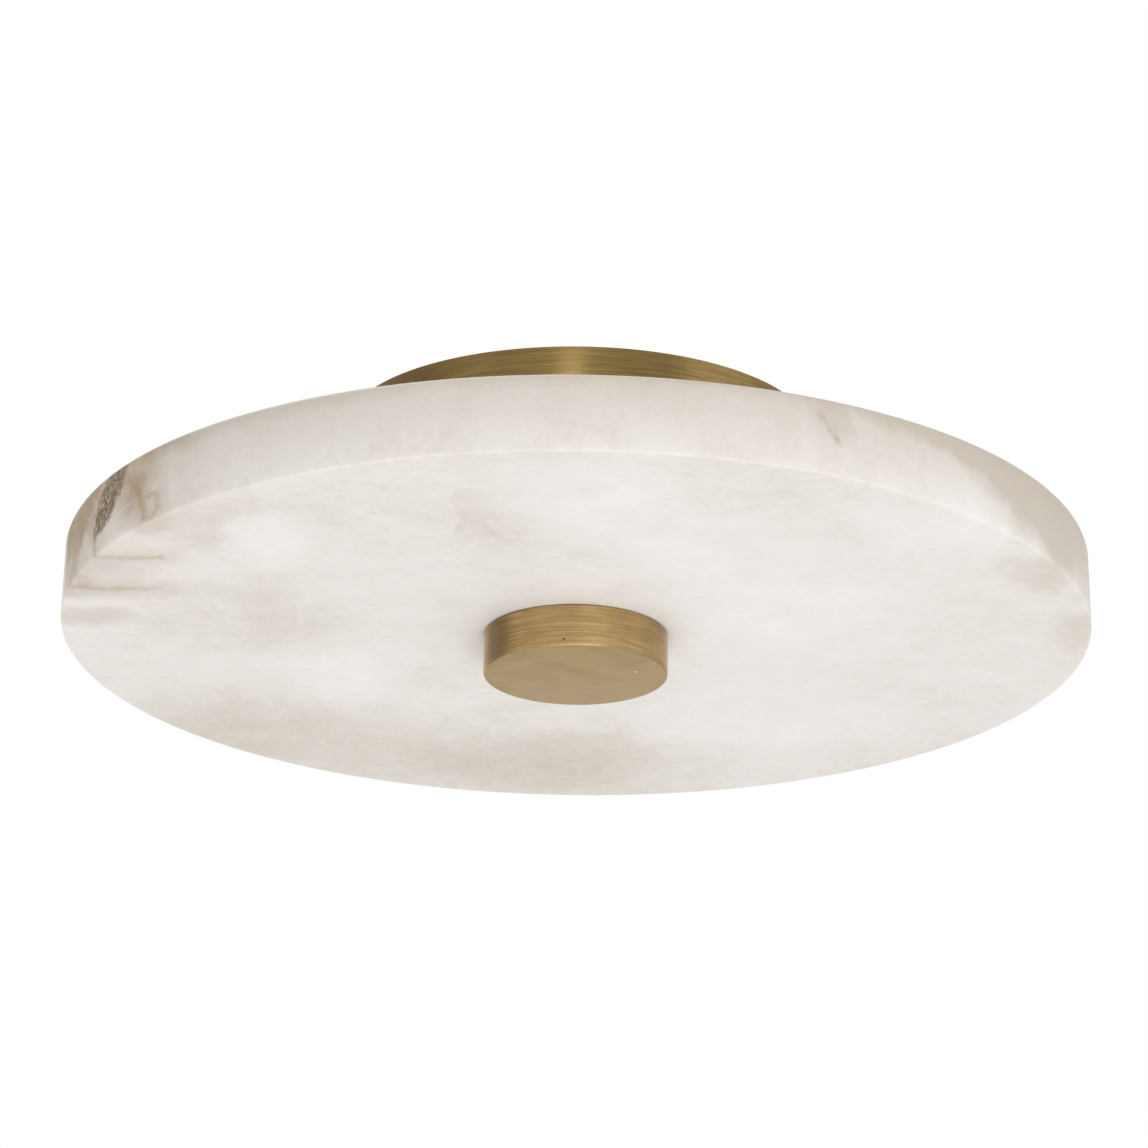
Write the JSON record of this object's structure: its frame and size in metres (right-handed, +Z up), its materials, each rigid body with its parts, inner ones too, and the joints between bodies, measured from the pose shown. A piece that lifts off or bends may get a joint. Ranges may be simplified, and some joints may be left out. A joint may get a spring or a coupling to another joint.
{
  "type": "flush mount ceiling light",
  "caption": "Flush mount ceiling light: a hollowed alabaster disc hung below a round brass canopy by a turned brass cap on a centre rod.",
  "frame": {"origin": "centre of the ceiling strap's top face, in the ceiling plane and on the axis of the rod", "axes": "+Z up into the ceiling, along the rod; X along the strap and its two slots; the terminal block lies towards -Y"},
  "size_m": [0.4, 0.4, 0.1007],
  "materials": {
    "antique_brass": "satin",
    "alabaster": "satin",
    "zinc_steel": "satin",
    "green_steel": "satin",
    "tinned_copper": "satin",
    "spun_aluminium": "satin",
    "black_rubber": "matte",
    "grey_rubber": "matte",
    "brown_felt": "matte",
    "white_board": "satin",
    "green_board": "satin",
    "diode_yellow": "satin",
    "white_nylon": "satin",
    "driver_white": "matte",
    "transformer_tape": "satin",
    "capacitor_black": "gloss",
    "brown_insulation": "satin",
    "blue_insulation": "satin",
    "green_insulation": "satin",
    "red_insulation": "satin",
    "black_insulation": "satin"
  },
  "bodies": {
    "canopy_unit": {"bearing_washer": "zinc_steel", "block_screws": "zinc_steel", "board_connector": "white_nylon", "board_screws": "zinc_steel", "bond_lead": "green_insulation", "bond_ring_terminal": "tinned_copper", "bond_screw": "zinc_steel", "canopy": "antique_brass", "ceiling_strap": "zinc_steel", "diodes": "diode_yellow", "driver_base": "driver_white", "driver_board": "green_board", "driver_capacitors": "capacitor_black", "driver_cover": "driver_white", "driver_screws": "zinc_steel", "driver_transformer": "transformer_tape", "ground_screw": "green_steel", "lead_grommet": "black_rubber", "light_board": "white_board", "light_tray": "spun_aluminium", "line_lead": "brown_insulation", "low_voltage_lead_1": "red_insulation", "low_voltage_lead_2": "black_insulation", "neutral_lead": "blue_insulation", "spacer_sleeve": "zinc_steel", "strap_lock_nut": "zinc_steel", "terminal_block": "white_nylon", "terminal_screws": "zinc_steel", "threaded_rod": "zinc_steel", "tray_nut": "zinc_steel", "tray_screws": "zinc_steel", "tray_washer": "zinc_steel"},
    "shade": {"alabaster_shade": "alabaster", "shade_bush": "grey_rubber", "cushion_washer": "black_rubber"},
    "cap": {"brass_cap": "antique_brass", "cap_insert": "zinc_steel", "felt_ring": "brown_felt"}
  },
  "joints": [
    {"name": "shade_lower", "type": "slide", "parent": "canopy_unit", "child": "shade", "axis": [0, 0, -1], "range_m": [0, 0.01]},
    {"name": "cap_turn", "type": "hinge", "parent": "shade", "child": "cap", "pos_m": [0, 0, -0.0925], "axis": [0, 0, -1], "range_deg": [0, 3600]}
  ],
  "couplings": [
    {"joint": "cap_turn", "follows": "shade_lower", "rad_per_m": 6283.2}
  ]
}
